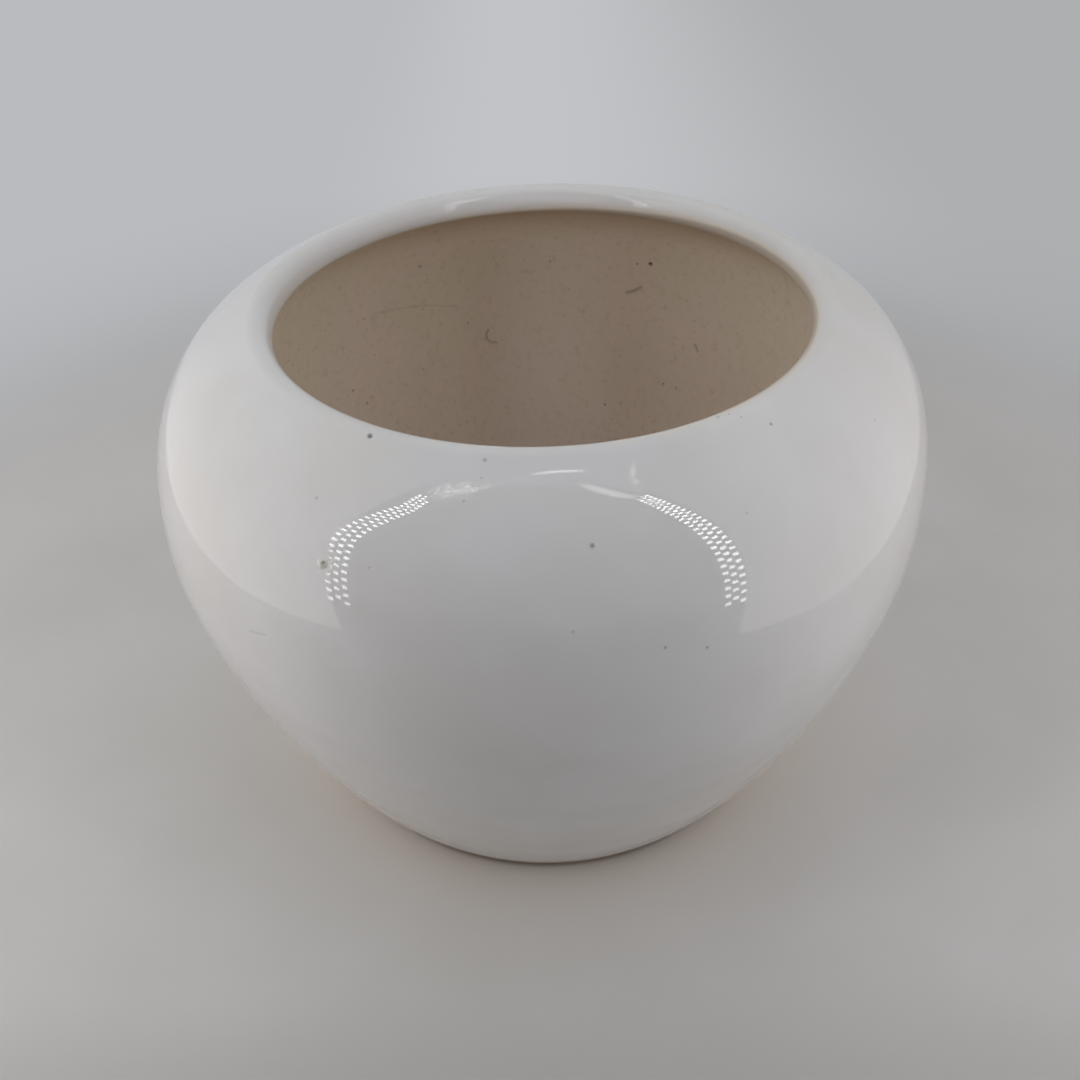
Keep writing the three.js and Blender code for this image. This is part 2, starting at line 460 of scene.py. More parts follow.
CLAY_MARKS = {
    "pit_far_dark": (((650.5, 264),), 1.5, 0.7, 1.0),
    "pit_far_beside": (((637, 264),), 1.0, 0.4, 0.6),
    "pit_far_above": (((640, 241.7),), 0.9, 0.3, 0.3),
    "pit_far_left": (((550, 261.4),), 0.9, 0.4, 0.5),
    "nick_far": (((627, 292.5), (634, 291), (641, 287.5)), 1.4, 0.3, 0.36),
    "curl_mark": (((488, 330), (486, 334), (486.5, 339), (490, 342.5), (496, 342.5)), 1.1, 0.25, 0.3),
    "pit_by_curl": (((467.8, 323.5),), 0.9, 0.3, 0.45),
    "nick_right": (((695, 345), (697.5, 351)), 1.1, 0.3, 0.3),
    "pit_right_low_a": (((663.4, 384),), 1.0, 0.35, 0.55),
    "pit_right_low_b": (((676, 388),), 0.9, 0.3, 0.4),
    "pit_right_high": (((694, 320.6),), 0.8, 0.2, 0.35),
    "pit_right_end": (((737, 333),), 0.8, 0.2, 0.3),
    "pit_left_low_a": (((353, 390.6),), 1.0, 0.3, 0.45),
    "pit_left_low_b": (((367, 403),), 1.0, 0.3, 0.4),
    "pit_left_high": (((364, 319),), 0.9, 0.2, 0.3),
    "pit_left_end": (((340, 288),), 0.8, 0.2, 0.25),
    "pit_middle": (((583, 312),), 0.9, 0.2, 0.3),
    "pit_middle_low": (((620, 356.5),), 0.9, 0.2, 0.3),
    "pit_left_middle": (((423, 369),), 0.9, 0.25, 0.3),
    "old_line_high": (((372, 315), (395, 309), (425, 305.5), (455, 306.5)), 0.9, 0.06, 0.12),
}
# Faces this close to a mark and turned its way are split, with this many cuts to an edge.
MARK_REACH = 1.5 * MM
MARK_CUTS = 5
LEAST_FACING_SPLIT = 0.3
LEAST_FACING_SHAPED = 0.2
# The low brim round a hollow: its height as a share of the depth, the rest as shares of the half width.
BRIM_HEIGHT = 0.2
BRIM_MIDDLE = 1.1
BRIM_WIDTH = 0.25
BRIM_END = 3
# A mark's tone fades between these shares of its half width.
DARK_RANGE = (1.3, 0.1)
OUT_OF_REACH = 9


def found_on(tree, pixel):
    """The point of a mesh that a pixel of the photograph shows, and the way that it faces there."""
    place, facing, _, _ = tree.ray_cast(CAMERA_PLACE, pixel_ray(pixel))
    if facing.dot(pixel_ray(pixel)) > 0:
        facing = -facing
    return np.array(place), np.array(facing)


def distance_to_path(points, path):
    """How far points are from a path of straight stretches."""
    nearest = np.linalg.norm(points - path[0], axis=1)
    for start, end in zip(path, path[1:]):
        along = end - start
        share = np.clip((points - start) @ along / (along @ along), 0, 1)
        gap = np.linalg.norm(points - start - share[:, None] * along, axis=1)
        nearest = np.minimum(nearest, gap)
    return nearest


def split_near(piece, found):
    """Splits the faces that carry marks finely enough to be shaped."""
    bm = bmesh.new()
    bm.from_mesh(piece.data)
    bm.faces.ensure_lookup_table()
    centres = np.array([face.calc_center_median() for face in bm.faces])
    normals = np.array([face.normal for face in bm.faces])
    chosen = np.zeros(len(centres), bool)
    for path, facing, width in found:
        near = distance_to_path(centres, path) < width / 2 + MARK_REACH
        chosen |= near & (normals @ facing > LEAST_FACING_SPLIT)
    edges = {edge for index in np.flatnonzero(chosen) for edge in bm.faces[index].edges}
    edges = sorted(edges, key=lambda edge: edge.index)
    bmesh.ops.subdivide_edges(bm, edges=edges, cuts=MARK_CUTS, use_grid_fill=True)
    bm.to_mesh(piece.data)
    bm.free()
    piece.data.shade_smooth()


def add_marks(piece, marks):
    """Shapes the marks into a piece's surface and stores how dark each point of it is."""
    tree = BVHTree.FromObject(piece, bpy.context.evaluated_depsgraph_get())
    found = []
    for pixels, width, _, _ in marks.values():
        hits = [found_on(tree, pixel) for pixel in pixels]
        found.append(([place for place, _ in hits], hits[0][1], width * MM))
    split_near(piece, found)
    points = points_of(piece)
    facings = np.empty(len(points) * 3, np.float32)
    piece.data.vertex_normals.foreach_get("vector", facings)
    facings = facings.reshape(-1, 3)
    dark = np.zeros(len(points))
    moved = points.copy()
    for (path, facing, width), (_, _, depth, darkness) in zip(found, marks.values()):
        share = distance_to_path(points, path) / (width / 2)
        share = np.where(facings @ facing > LEAST_FACING_SHAPED, share, OUT_OF_REACH)
        hollow = np.clip(1 - share**2, 0, 1) ** 2
        brim = np.exp(-(((share - BRIM_MIDDLE) / BRIM_WIDTH) ** 2)) * (share < BRIM_END)
        moved -= np.outer(depth * MM * (hollow - BRIM_HEIGHT * brim), facing)
        dark = np.maximum(dark, darkness * smooth(*DARK_RANGE, share))
    piece.data.vertices.foreach_set("co", moved.astype(np.float32).ravel())
    piece.data.update()
    point_values(piece, "mark", dark)


# Node materials.


def add_node(tree, kind, inputs=None, **settings):
    """A shader node with its settings, whose inputs are set to values or linked to other nodes' outputs."""
    node = tree.nodes.new("ShaderNode" + kind)
    for name, value in settings.items():
        setattr(node, name, value)
    for name, value in (inputs or {}).items():
        if isinstance(value, bpy.types.NodeSocket):
            tree.links.new(value, node.inputs[name])
        else:
            node.inputs[name].default_value = value
    return node


def linear(*screen):
    """A colour given as 0 to 255 screen values, as the linear values that shaders take."""

    def one(value):
        share = value / 255
        return share / 12.92 if share <= 0.04045 else ((share + 0.055) / 1.055) ** 2.4

    return (*(one(value) for value in screen), 1)


def cleared_nodes(owner):
    """The nodes of a material or world, with none in them yet."""
    owner.use_nodes = True
    owner.node_tree.nodes.clear()
    return owner.node_tree


def new_material(name):
    """A node material with its shader: the material, its nodes and the shader's node."""
    material = bpy.data.materials.new(name)
    tree = cleared_nodes(material)
    shader = add_node(tree, "BsdfPrincipled")
    output = add_node(tree, "OutputMaterial")
    tree.links.new(shader.outputs[0], output.inputs[0])
    return material, tree, shader


def math_node(tree, operation, first, second):
    """The result of one operation on two numbers."""
    return add_node(tree, "Math", {0: first, 1: second}, operation=operation).outputs[0]


def mix_colour(tree, share, first, second):
    """A colour between two, at a share of the way. The sockets of a Mix node's colours go by number."""
    return add_node(tree, "Mix", {0: share, 6: first, 7: second}, data_type="RGBA").outputs[2]


def ramp(tree, value, low, high):
    """0 at low, 1 at high, smooth between and level beyond. The low end may be the larger number."""
    inputs = {"Value": value, "From Min": low, "From Max": high}
    return add_node(tree, "MapRange", inputs, interpolation_type="SMOOTHSTEP").outputs["Result"]


def mapped(tree, value, low, high, first, last):
    """First at low, last at high, straight between and level beyond."""
    inputs = {"Value": value, "From Min": low, "From Max": high, "To Min": first, "To Max": last}
    return add_node(tree, "MapRange", inputs).outputs["Result"]


def noise_at(tree, place, size, detail=3.0, roughness=0.5):
    """Soft noise from 0 to 1 whose lumps are about one size across."""
    inputs = {"Vector": place, "Scale": 1 / size, "Detail": detail, "Roughness": roughness}
    return add_node(tree, "TexNoise", inputs).outputs["Fac"]


# The core of a speck, which is dark all over, as a share of its size.
SPECK_CORE = 0.6


def random_specks(tree, place, spacing, size, share):
    """Round specks scattered on a grid of cells, in a share of the cells."""
    cells = add_node(tree, "TexVoronoi", {"Vector": place, "Scale": 1 / spacing}, feature="F1")
    chosen = add_node(tree, "SeparateColor", {0: cells.outputs["Color"]})
    present = math_node(tree, "LESS_THAN", chosen.outputs[0], share)
    wanted = math_node(tree, "MULTIPLY", chosen.outputs[1], size / spacing)
    core = math_node(tree, "MULTIPLY", wanted, SPECK_CORE)
    near = mapped(tree, cells.outputs["Distance"], wanted, core, 0, 1)
    return math_node(tree, "MULTIPLY", near, present)


def attribute(tree, name):
    """The numbers that point_values stored under a name."""
    return add_node(tree, "Attribute", attribute_name=name).outputs["Fac"]


# The glaze's colours. The white has two, for the dark and the light of its clouds.
GLAZE_WHITES = (linear(211, 209, 205), linear(217, 216, 214))
# The cream is the lip's own, and close to the foot it is also a painted warm reflection of the floor.
GLAZE_CREAM_AND_REFLECTION = linear(221, 211, 197)
GLAZE_EDGE = linear(188, 178, 165)
GLAZE_SPECK = linear(120, 108, 96)
GLAZE_IVORY = linear(205, 200, 176)
GLAZE_MARK = linear(62, 60, 60)
# How strongly its specks show, and how rough it is: clean, where it thins out and where it is satin.
GLAZE_SPECK_TONE = 0.22
GLAZE_ROUGHNESS = (0.015, 0.04)
GLAZE_THIN_ROUGHNESS = 0.45
GLAZE_SATIN_ROUGHNESS = 0.25
GLAZE_IOR = 1.52


def glaze_material():
    """Glossy white glaze, faintly clouded, with specks and pinholes, that thins to brown at its edges, turns
    cream on the lip and has a painted warm reflection close to the foot.
    """
    material, tree, shader = new_material("white_glaze")
    place = add_node(tree, "TexCoord").outputs["Object"]
    cloud = noise_at(tree, place, 38 * MM, detail=4, roughness=0.55)
    body = mix_colour(tree, ramp(tree, cloud, 0.3, 0.7), *GLAZE_WHITES)
    thin = attribute(tree, "thin")
    cream_and_reflection = mix_colour(tree, attribute(tree, "cream_and_reflection"), body, GLAZE_CREAM_AND_REFLECTION)
    edge = mix_colour(tree, ramp(tree, thin, 0.1, 0.9), cream_and_reflection, GLAZE_EDGE)
    specks = random_specks(tree, place, spacing=8 * MM, size=0.4 * MM, share=0.3)
    speck_tone = math_node(tree, "MULTIPLY", specks, GLAZE_SPECK_TONE)
    spotted = mix_colour(tree, speck_tone, edge, GLAZE_SPECK)
    blotted = mix_colour(tree, attribute(tree, "ivory"), spotted, GLAZE_IVORY)
    marked = mix_colour(tree, attribute(tree, "mark"), blotted, GLAZE_MARK)
    tree.links.new(marked, shader.inputs["Base Color"])
    smear = noise_at(tree, place, 22 * MM, detail=5, roughness=0.6)
    gloss = mapped(tree, smear, 0.3, 0.75, *GLAZE_ROUGHNESS)
    thin_dull = math_node(tree, "MULTIPLY", thin, GLAZE_THIN_ROUGHNESS)
    satin_dull = math_node(tree, "MULTIPLY", attribute(tree, "satin"), GLAZE_SATIN_ROUGHNESS)
    dulled = math_node(tree, "MAXIMUM", thin_dull, satin_dull)
    tree.links.new(math_node(tree, "ADD", gloss, dulled), shader.inputs["Roughness"])
    peel = noise_at(tree, place, 6 * MM, detail=1)
    bump = add_node(tree, "Bump", {"Height": peel, "Strength": 0.2, "Distance": 0.008 * MM})
    pore_inputs = {"Height": specks, "Strength": 0.6, "Distance": 0.05 * MM, "Normal": bump.outputs[0]}
    pores = add_node(tree, "Bump", pore_inputs, invert=True)
    tree.links.new(pores.outputs[0], shader.inputs["Normal"])
    shader.inputs["IOR"].default_value = GLAZE_IOR
    return material


# The clay's colours. Clean and stained clay have two each, for their mottling and clouds.
CLAY_CLEAN = (linear(220, 211, 198), linear(227, 219, 207))
CLAY_STAINED = (linear(229, 219, 200), linear(233, 219, 207))
CLAY_BLOTCH = linear(209, 193, 171)
# Painted shade for the inside wall, in bands and close under the lip.
CLAY_PAINTED_SHADE = linear(196, 178, 155)
# The clay's darker tone at the foot's outer edge.
CLAY_FOOT_EDGE_DARK = linear(92, 78, 65)
CLAY_DARK = linear(84, 66, 48)
# How strongly the blotches, the fine specks and all specks show, and how rough the clay is.
BLOTCH_TONE = 0.7
FINE_SPECK_TONE = 0.7
CLAY_SPECK_TONE = 0.45
CLAY_ROUGHNESS = (0.8, 0.98)


def clay_material():
    """Bare fired clay: fine grain, mottling and small pits, soil stained inside, with painted shade on the
    inside wall and a darker foot edge.
    """
    material, tree, shader = new_material("bare_clay")
    place = add_node(tree, "TexCoord").outputs["Object"]
    cloud = noise_at(tree, place, 45 * MM, detail=3, roughness=0.5)
    mottle = noise_at(tree, place, 2.2 * MM, detail=5, roughness=0.7)
    grain = noise_at(tree, place, 0.7 * MM, detail=3, roughness=0.7)
    clean = mix_colour(tree, ramp(tree, mottle, 0.3, 0.7), *CLAY_CLEAN)
    stained = mix_colour(tree, ramp(tree, cloud, 0.35, 0.65), *CLAY_STAINED)
    blotches = math_node(tree, "MULTIPLY", ramp(tree, mottle, 0.5, 0.75), BLOTCH_TONE)
    stained = mix_colour(tree, blotches, stained, CLAY_BLOTCH)
    # Painted shade darkens the stained inside, in bands and close under the lip.
    stained_and_shaded = mix_colour(tree, attribute(tree, "painted_shade"), stained, CLAY_PAINTED_SHADE)
    colour = mix_colour(tree, attribute(tree, "inside"), clean, stained_and_shaded)
    colour = mix_colour(tree, attribute(tree, "foot_edge_dark"), colour, CLAY_FOOT_EDGE_DARK)
    coarse_specks = random_specks(tree, place, spacing=5 * MM, size=0.7 * MM, share=0.35)
    fine_specks = random_specks(tree, place, spacing=2.2 * MM, size=0.42 * MM, share=0.45)
    fine_specks = math_node(tree, "MULTIPLY", fine_specks, FINE_SPECK_TONE)
    specks = math_node(tree, "MAXIMUM", coarse_specks, fine_specks)
    patchy = ramp(tree, noise_at(tree, place, 16 * MM, detail=2), 0.4, 0.62)
    specks = math_node(tree, "MULTIPLY", specks, math_node(tree, "MULTIPLY", patchy, CLAY_SPECK_TONE))
    dark = math_node(tree, "MAXIMUM", specks, attribute(tree, "mark"))
    colour = mix_colour(tree, dark, colour, CLAY_DARK)
    tree.links.new(colour, shader.inputs["Base Color"])
    tree.links.new(mapped(tree, mottle, 0.2, 0.8, *CLAY_ROUGHNESS), shader.inputs["Roughness"])
    coarse = add_node(tree, "Bump", {"Height": mottle, "Strength": 0.5, "Distance": 0.12 * MM})
    fine_inputs = {"Height": grain, "Strength": 0.5, "Distance": 0.05 * MM, "Normal": coarse.outputs[0]}
    fine = add_node(tree, "Bump", fine_inputs)
    tree.links.new(fine.outputs[0], shader.inputs["Normal"])
    return material


# The two pieces.


# Where the glaze's white gives way to the clay on the round of the lip. It reaches further in on the left
# and far sides, a little unevenly. The white turns to cream before it fades. Close to the foot a painted
# warm reflection of the floor tints it the same cream.
FADE_MIDDLE = math.radians(194)
FADE_LEFT = math.radians(35)
FADE_FAR = math.radians(30)
FADE_HALF = math.radians(14)
FADE_WAVE = math.radians(2)
FADE_WAVES = 7
CREAM_REACH = math.radians(45)
CREAM_NEAR = math.radians(20)
# The painted warm reflection close to the foot: how far above the glaze's lower edge it reaches, and its
# strength.
FOOT_REFLECTION_REACH = 10 * MM
FOOT_REFLECTION = 0.5
# The lip's cream turns satin towards the near side, between these sines of the angle round the pot.
SATIN_RANGE = (0.2, -0.6)
# How thin the glaze gets at its lower edge, and between which heights.
FOOT_THIN = 0.8
FOOT_THIN_RANGE = (GLAZE_FOOT_LINE + 0.5 * MM, GLAZE_FOOT_LINE - 0.1 * MM)
# The ivory halo of the blister fades between these shares of its width.
HALO_TONE = 0.4
HALO_END = 0.7
HALO_START = 0.3
# Angles on the lip's round past this one belong to the outside.
LIP_BACK = 1.5 * math.pi


def fade_at(angle):
    """The angle on the lip's round at which the glaze has half faded, for an angle round the pot."""
    unevenness = FADE_WAVE * np.sin(FADE_WAVES * angle)
    return FADE_MIDDLE - FADE_LEFT * np.cos(angle) + FADE_FAR * np.sin(angle) + unevenness


def build_glaze():
    """The white coat with its marks and what its material reads."""
    piece = turned("white_glaze_coat", glaze_profile())
    add_marks(piece, GLAZE_MARKS)
    points = points_of(piece)
    radius = np.hypot(points[:, 0], points[:, 1])
    around = np.arctan2(points[:, 1], points[:, 0])
    angle = lip_angle(points)
    near_lip = np.hypot(radius - LIP_CENTRE[0], points[:, 2] - LIP_CENTRE[1]) < 2 * LIP_ROUND
    lip_thin = smooth(-FADE_HALF, FADE_HALF, angle - fade_at(around)) * near_lip * (angle < LIP_BACK)
    reach = CREAM_REACH - CREAM_NEAR * np.sin(around)
    cream_and_reflection = smooth(-1, 0, (angle - fade_at(around)) / reach) * near_lip
    # Close to the foot the cream is a painted warm reflection of the floor.
    foot_reflection = FOOT_REFLECTION * smooth(GLAZE_FOOT_LINE + FOOT_REFLECTION_REACH, GLAZE_FOOT_LINE, points[:, 2])
    point_values(piece, "cream_and_reflection", np.maximum(cream_and_reflection, foot_reflection))
    point_values(piece, "satin", cream_and_reflection * smooth(*SATIN_RANGE, np.sin(around)))
    foot_thin = FOOT_THIN * smooth(*FOOT_THIN_RANGE, points[:, 2])
    point_values(piece, "thin", np.maximum(lip_thin, foot_thin))
    tree = BVHTree.FromObject(piece, bpy.context.evaluated_depsgraph_get())
    pixels, width, _, _ = GLAZE_MARKS["blister"]
    blister, _ = found_on(tree, pixels[0])
    gap = np.linalg.norm(points - blister, axis=1)
    width = width * MM
    halo = HALO_TONE * smooth(HALO_END * width, HALO_START * width, gap)
    point_values(piece, "ivory", halo)
    piece.data.materials.append(glaze_material())
    return piece


# Bands of painted shade down the inside wall: a pixel in each, its half width and its tone.
PAINTED_SHADE_BANDS = (
    ((487, 300), math.radians(9), 0.18),
    ((648, 280), math.radians(8), 0.12),
    ((400, 300), math.radians(16), 0.08),
    ((720, 320), math.radians(18), 0.1),
)
# Painted shade darkens the inside wall close under the lip.
UNDER_LIP_REACH = 22 * MM
UNDER_LIP_SHADE = 0.9
# The clay is darker at the foot's outer edge, this high and this far under.
FOOT_EDGE_DARK_HEIGHT = 3.2 * MM
FOOT_EDGE_DARK_WIDTH = 3 * MM
# The inside's material starts this far below the floor, on the drain hole's edge.
INSIDE_BELOW_FLOOR = 1 * MM


def build_clay():
    """The clay body with its marks and what its material reads."""
    piece = turned("bare_clay_body", clay_profile())
    add_marks(piece, CLAY_MARKS)
    points = points_of(piece)
    radius = np.hypot(points[:, 0], points[:, 1])
    around = np.arctan2(points[:, 1], points[:, 0])
    heights = points[:, 2]
    middle = outside(-WALL / 2, 0)
    wall_middle = np.interp(heights, middle[:, 1], middle[:, 0])
    inside = (radius < wall_middle) & (heights > FLOOR_HEIGHT - INSIDE_BELOW_FLOOR)
    angle = lip_angle(points)
    on_lip = (heights > LIP_CENTRE[1] - LIP_ROUND) & (angle < LIP_BACK)
    stain = smooth(-FADE_HALF, FADE_HALF, angle - fade_at(around))
    point_values(piece, "inside", np.where(on_lip, stain, inside))
    tree = BVHTree.FromObject(piece, bpy.context.evaluated_depsgraph_get())
    # Painted shade: bands down the inside wall, and darker close under the lip.
    painted_shade = np.zeros(len(points))
    for pixel, half_width, tone in PAINTED_SHADE_BANDS:
        place, _ = found_on(tree, pixel)
        gap = (around - math.atan2(place[1], place[0]) + math.pi) % (2 * math.pi) - math.pi
        painted_shade = np.maximum(painted_shade, tone * np.exp(-((gap / half_width) ** 2)))
    under_lip = smooth(LIP_CENTRE[1] - UNDER_LIP_REACH, LIP_CENTRE[1] - LIP_ROUND, heights)
    painted_shade = np.maximum(painted_shade, UNDER_LIP_SHADE * under_lip)
    point_values(piece, "painted_shade", painted_shade)
    # Darker at the foot's outer edge, close to the floor.
    foot_edge_dark = smooth(FOOT_RADIUS - FOOT_EDGE_DARK_WIDTH, FOOT_RADIUS, radius) * smooth(FOOT_EDGE_DARK_HEIGHT, 0, heights)
    point_values(piece, "foot_edge_dark", foot_edge_dark)
    piece.data.materials.append(clay_material())
    return piece


# The studio.


FLOOR_HALF = 3
# The floor's colours: clouds, painted light close to the pot, painted shade in front and a painted contact
# shadow.
FLOOR_CLOUD = (linear(201, 199, 195), linear(206, 204, 201))
FLOOR_NEAR_PAINTED_LIGHT = linear(213, 206, 197)
FLOOR_FRONT_PAINTED_SHADE = linear(191, 189, 185)
FLOOR_PAINTED_CONTACT_SHADOW = linear(150, 132, 115)
# What the camera sees farther off, a glow with painted light and shade, lighter on the left than the right:
# plain tones on the left and right, and those of the distance.
PLAIN_LEFT_RIGHT = (linear(173, 175, 178), linear(166, 168, 171))
FAR_MIDDLE = linear(193, 195, 198)
FAR_RIGHT = linear(173, 175, 177)
FAR_LEFT = linear(185, 187, 190)
# Where one gives way to the next, in metres from the pot's axis.
FLOOR_NEAR_FADE = (0.09, 0.058)
FLOOR_FRONT_FADE = (-0.09, -0.12)
CONTACT_FADE = (FOOT_RADIUS + 3 * MM, FOOT_RADIUS + 1 * MM)
FLOOR_PLAIN_FADE = (0.21, 0.33)
PLAIN_SIDES = (-0.25, 0.25)
FAR_RIGHT_FADE = (0, 0.25)
FAR_LEFT_FADE = (-0.02, -0.14)
FAR_FADE = (0.22, 0.42)


def add_floor():
    """A wide, pale floor with painted light and shade close to the pot. Far from the pot the camera sees a
    glow with painted light and shade, whatever the light.
    """
    mesh = bpy.data.meshes.new("floor")
    signs = ((-1, -1), (1, -1), (1, 1), (-1, 1))
    corners = [(x * FLOOR_HALF, y * FLOOR_HALF, 0) for x, y in signs]
    mesh.from_pydata(corners, [], [(0, 1, 2, 3)])
    floor = add_object("floor", mesh)
    material, tree, shader = new_material("studio_floor")
    place = add_node(tree, "TexCoord").outputs["Object"]
    cloud = noise_at(tree, place, 60 * MM, detail=5)
    colour = mix_colour(tree, ramp(tree, cloud, 0.3, 0.7), *FLOOR_CLOUD)
    distance = add_node(tree, "VectorMath", {0: place}, operation="LENGTH").outputs["Value"]
    # Painted light lifts the pot's shadow close to it, painted shade darkens the front, and a painted
    # contact shadow rings the foot.
    colour = mix_colour(tree, ramp(tree, distance, *FLOOR_NEAR_FADE), colour, FLOOR_NEAR_PAINTED_LIGHT)
    apart = add_node(tree, "SeparateXYZ", {0: place})
    front = ramp(tree, apart.outputs["Y"], *FLOOR_FRONT_FADE)
    colour = mix_colour(tree, front, colour, FLOOR_FRONT_PAINTED_SHADE)
    colour = mix_colour(tree, ramp(tree, distance, *CONTACT_FADE), colour, FLOOR_PAINTED_CONTACT_SHADOW)
    tree.links.new(colour, shader.inputs["Base Color"])
    shader.inputs["Roughness"].default_value = 0.7
    shader.inputs["Specular IOR Level"].default_value = 0.25
    # Farther off the camera sees a glow that is no lamp, in tones of painted light and shade.
    far = ramp(tree, distance, *FLOOR_PLAIN_FADE)
    seen = add_node(tree, "LightPath").outputs["Is Camera Ray"]
    side = apart.outputs["X"]
    near_tone = mix_colour(tree, ramp(tree, side, *PLAIN_SIDES), *PLAIN_LEFT_RIGHT)
    far_tone = mix_colour(tree, ramp(tree, side, *FAR_RIGHT_FADE), FAR_MIDDLE, FAR_RIGHT)
    far_tone = mix_colour(tree, ramp(tree, side, *FAR_LEFT_FADE), far_tone, FAR_LEFT)
    plain = mix_colour(tree, ramp(tree, distance, *FAR_FADE), near_tone, far_tone)
    glow = add_node(tree, "Emission", {"Color": plain})
    both = add_node(tree, "MixShader", {0: math_node(tree, "MULTIPLY", far, seen), 1: shader.outputs[0]})
    tree.links.new(glow.outputs[0], both.inputs[2])
    output = [node for node in tree.nodes if node.type == "OUTPUT_MATERIAL"][0]
    tree.links.new(both.outputs[0], output.inputs[0])
    mesh.materials.append(material)


def add_strip_lamp(name, ends, power, colour):
    """The soft light of one strip. The strip's dots are what its reflection shows, so the lamp has none."""
    low, high = ends
    data = bpy.data.lights.new(name, "AREA")
    data.shape = "RECTANGLE"
    data.size = STRIP_WIDTH
    data.size_y = (high - low).length
    data.energy = power
    data.color = colour
    lamp = add_object(name, data)
    facing = -towards_pot(ends)
    along = (high - low).normalized()
    across = along.cross(facing)
    turn = Matrix((across, along, facing)).transposed()
    lamp.matrix_world = Matrix.Translation((low + high) / 2) @ turn.to_4x4()
    lamp.visible_glossy = False


# The corners of a light tent, in millimetres.
TENT_CORNERS = {
    "left_front_low": (-245, -232, 1),
    "left_front_high": (-180, -90, 545),
    "left_back_low": (-320, 300, 1),
    "left_back_high": (-260, 300, 545),
    "right_front_low": (232, -240, 1),
    "right_front_high": (172, -100, 545),
    "right_back_low": (320, 300, 1),
    "right_back_high": (260, 300, 545),
}

# How the cloth of each side glows at its corners.
TENT_SIDES = {
    "left_wall": {
        "left_front_low": (1.4, 1.32, 1.27),
        "left_back_low": (0.6, 0.6, 0.65),
        "left_back_high": (0.65, 0.67, 0.62),
        "left_front_high": (0.78, 0.77, 0.65),
    },
    "right_wall": {
        "right_front_low": (1.11, 1.04, 1),
        "right_back_low": (0.45, 0.45, 0.5),
        "right_back_high": (0.56, 0.53, 0.49),
        "right_front_high": (0.6, 0.55, 0.47),
    },
    "roof": {
        "left_front_high": (0.55, 0.63, 0.79),
        "left_back_high": (0.81, 0.89, 1.02),
        "right_back_high": (0.73, 0.79, 0.91),
        "right_front_high": (0.47, 0.54, 0.68),
    },
    "back_wall": {
        "left_back_low": (0.55, 0.57, 0.64),
        "right_back_low": (0.4, 0.42, 0.44),
        "right_back_high": (0.65, 0.61, 0.53),
        "left_back_high": (0.75, 0.73, 0.68),
    },
}
TENT_STEPS = 8


def add_tent_side(name, glows):
    """One side of the tent, whose glow runs smoothly between its corners. The camera doesn't see it."""
    bm = bmesh.new()
    glow = bm.verts.layers.float_color.new("glow")
    places = [Vector(TENT_CORNERS[corner]) * MM for corner in glows]
    colours = [Vector(colour) for colour in glows.values()]
    grid = []
    for row in range(TENT_STEPS + 1):
        for column in range(TENT_STEPS + 1):
            u = column / TENT_STEPS
            v = row / TENT_STEPS
            shares = ((1 - u) * (1 - v), u * (1 - v), u * v, (1 - u) * v)
            vert = bm.verts.new(sum((p * w for p, w in zip(places, shares)), Vector()))
            vert[glow] = (*sum((c * w for c, w in zip(colours, shares)), Vector()), 1)
            grid.append(vert)
    wide = TENT_STEPS + 1
    for row in range(TENT_STEPS):
        for column in range(TENT_STEPS):
            at = row * wide + column
            bm.faces.new([grid[at], grid[at + 1], grid[at + wide + 1], grid[at + wide]])
    mesh = bpy.data.meshes.new(name)
    bm.to_mesh(mesh)
    bm.free()
    material, tree, light = emitter(name)
    glow = add_node(tree, "Attribute", attribute_name="glow")
    tree.links.new(glow.outputs["Color"], light.inputs["Color"])
    mesh.materials.append(material)
    side = add_object(name, mesh)
    side.visible_camera = False
    side.visible_shadow = False


def emitter(name):
    """A material that only glows: the material, its nodes and the light's node."""
    material = bpy.data.materials.new(name)
    tree = cleared_nodes(material)
    light = add_node(tree, "Emission", {"Color": (1, 1, 1, 1), "Strength": 1})
    output = add_node(tree, "OutputMaterial")
    tree.links.new(light.outputs[0], output.inputs[0])
    return material, tree, light


# Rows of small lamps stand left and right of the camera, three abreast, and show only as reflections. Each
# strip runs through what the glaze mirrors at these pixels. The third number is the distance from the glaze
# in millimetres.
LAMP_STRIPS = {
    "left": (
        (339, 601, 220), (337, 560, 212), (344, 539, 222), (360, 527, 248),
        (378, 519, 279), (406, 509, 343), (428, 496, 430),
    ),
    "right": ((736, 602, 215), (639, 496, 430)),
}
STRIP_LIGHTS = {"left": (0.27, (0.89, 0.89, 1.0)), "right": (0.28, (0.86, 0.89, 1.0))}
LAMP_ROWS = 26
LAMPS_ABREAST = 3
LAMP_SIZE = 6.8 * MM
LAMP_GAP = 8.5 * MM
# The lamps' strengths at the foot and the top of a strip, and how many gaps they are apart there.
LAMP_STRENGTHS = (7, 20)
LAMP_SPREADS = {"left": (1.3, 1.2), "right": (1.1, 1)}
STRIP_WIDTH = 24 * MM
# The point on the pot that the strips face.
STRIP_TARGET = Vector((0, -50 * MM, 100 * MM))

